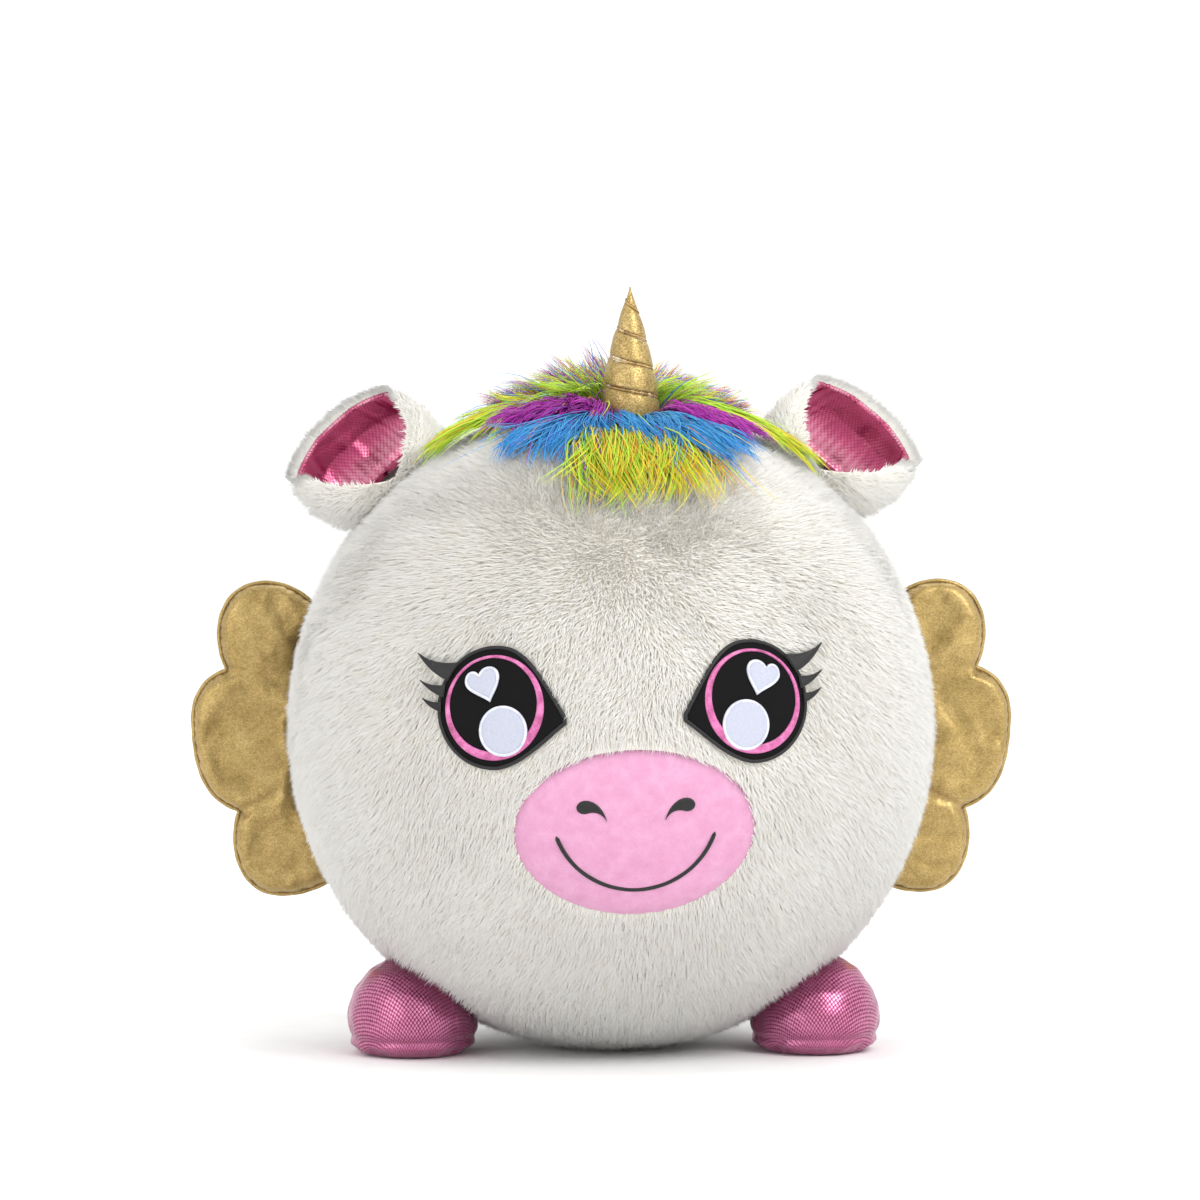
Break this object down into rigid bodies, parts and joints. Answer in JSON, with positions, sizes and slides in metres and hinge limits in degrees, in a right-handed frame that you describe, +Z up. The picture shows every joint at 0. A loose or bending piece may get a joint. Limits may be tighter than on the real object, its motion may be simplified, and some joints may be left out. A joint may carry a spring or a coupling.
{
  "type": "plush unicorn",
  "caption": "Large round stuffed unicorn in white faux fur with a stitched face, gold horn and wings, pink-lined ears, rainbow mane and stuffed pink feet.",
  "frame": {"origin": "on the floor, at the middle of the flat patch that the ball rests on", "axes": "+Z up, the face looks along -Y, +X is the viewer's right and runs along the wings"},
  "size_m": [0.656, 0.5501, 0.5955],
  "materials": {
    "white_fur": "ivory-white faux fur, 12 to 15 mm polyester pile on a knitted backing",
    "pink_velboa": "pale pink short-pile velboa, matt with a soft nap",
    "black_embroidery": "black felt and satin-stitch embroidery",
    "pink_satin_stitch": "pink rayon satin stitch, silky",
    "pale_felt": "pale lilac-grey felt with a white satin-stitched edge",
    "gold_lame": "gold lame knit with fine holographic glitter, satin sheen",
    "pink_foil": "hot-pink micro-dot foil-printed knit, glossy",
    "rainbow_pile": "long-pile rainbow-dyed faux fur, silky strands",
    "fibre_filling": "white polyester fibre filling"
  },
  "bodies": {
    "body": {"body_filling": "fibre_filling", "cover_front": "white_fur", "cover_side_left": "white_fur", "cover_side_right": "white_fur", "cover_back_left": "white_fur", "cover_back_right": "white_fur", "cover_base": "white_fur", "muzzle_panel": "pink_velboa", "nostril_left": "black_embroidery", "nostril_right": "black_embroidery", "smile": "black_embroidery", "eye_patch_left": "black_embroidery", "iris_ring_left": "pink_satin_stitch", "heart_left": "pale_felt", "glint_left": "pale_felt", "eye_patch_right": "black_embroidery", "iris_ring_right": "pink_satin_stitch", "heart_right": "pale_felt", "glint_right": "pale_felt", "mane_crown": "rainbow_pile", "mane_strip": "rainbow_pile", "foot_sole_left": "pink_foil", "foot_front_left": "pink_foil", "foot_back_left": "pink_foil", "foot_filling_left": "fibre_filling", "foot_sole_right": "pink_foil", "foot_front_right": "pink_foil", "foot_back_right": "pink_foil", "foot_filling_right": "fibre_filling"},
    "horn": {"horn_cover": "gold_lame", "horn_filling": "fibre_filling", "horn_thread": "gold_lame"},
    "tail": {"tail": "rainbow_pile"},
    "ear_left": {"ear_shell_left": "white_fur", "ear_lining_left": "pink_foil"},
    "ear_right": {"ear_shell_right": "white_fur", "ear_lining_right": "pink_foil"},
    "wing_left": {"wing_front_left": "gold_lame", "wing_back_left": "gold_lame", "wing_filling_left": "fibre_filling"},
    "wing_right": {"wing_front_right": "gold_lame", "wing_back_right": "gold_lame", "wing_filling_right": "fibre_filling"}
  },
  "joints": [
    {"name": "wing_left_swing", "type": "hinge", "parent": "body", "child": "wing_left", "pos_m": [-0.243, 0.108, 0.251], "axis": [0, 0, -1], "range_deg": [-35, 60], "stiffness_Nm_per_rad": 0.8},
    {"name": "wing_right_swing", "type": "hinge", "parent": "body", "child": "wing_right", "pos_m": [0.243, 0.108, 0.251], "axis": [0, 0, 1], "range_deg": [-35, 60], "stiffness_Nm_per_rad": 0.8},
    {"name": "ear_left_bend", "type": "hinge", "parent": "body", "child": "ear_left", "pos_m": [-0.17313, 0, 0.44093], "axis": [0.739, 0, 0.6737], "range_deg": [-20, 20], "stiffness_Nm_per_rad": 0.8},
    {"name": "ear_right_bend", "type": "hinge", "parent": "body", "child": "ear_right", "pos_m": [0.16399, 0, 0.44888], "axis": [0.77, 0, -0.6381], "range_deg": [-20, 20], "stiffness_Nm_per_rad": 0.8},
    {"name": "horn_tilt", "type": "hinge", "parent": "body", "child": "horn", "pos_m": [0.012, -0.045, 0.495], "axis": [1, 0, 0], "range_deg": [-12, 12], "stiffness_Nm_per_rad": 1},
    {"name": "tail_lift", "type": "hinge", "parent": "body", "child": "tail", "pos_m": [0, 0.26373, 0.221], "axis": [1, 0, 0], "range_deg": [-4, 70], "stiffness_Nm_per_rad": 0.4}
  ]
}
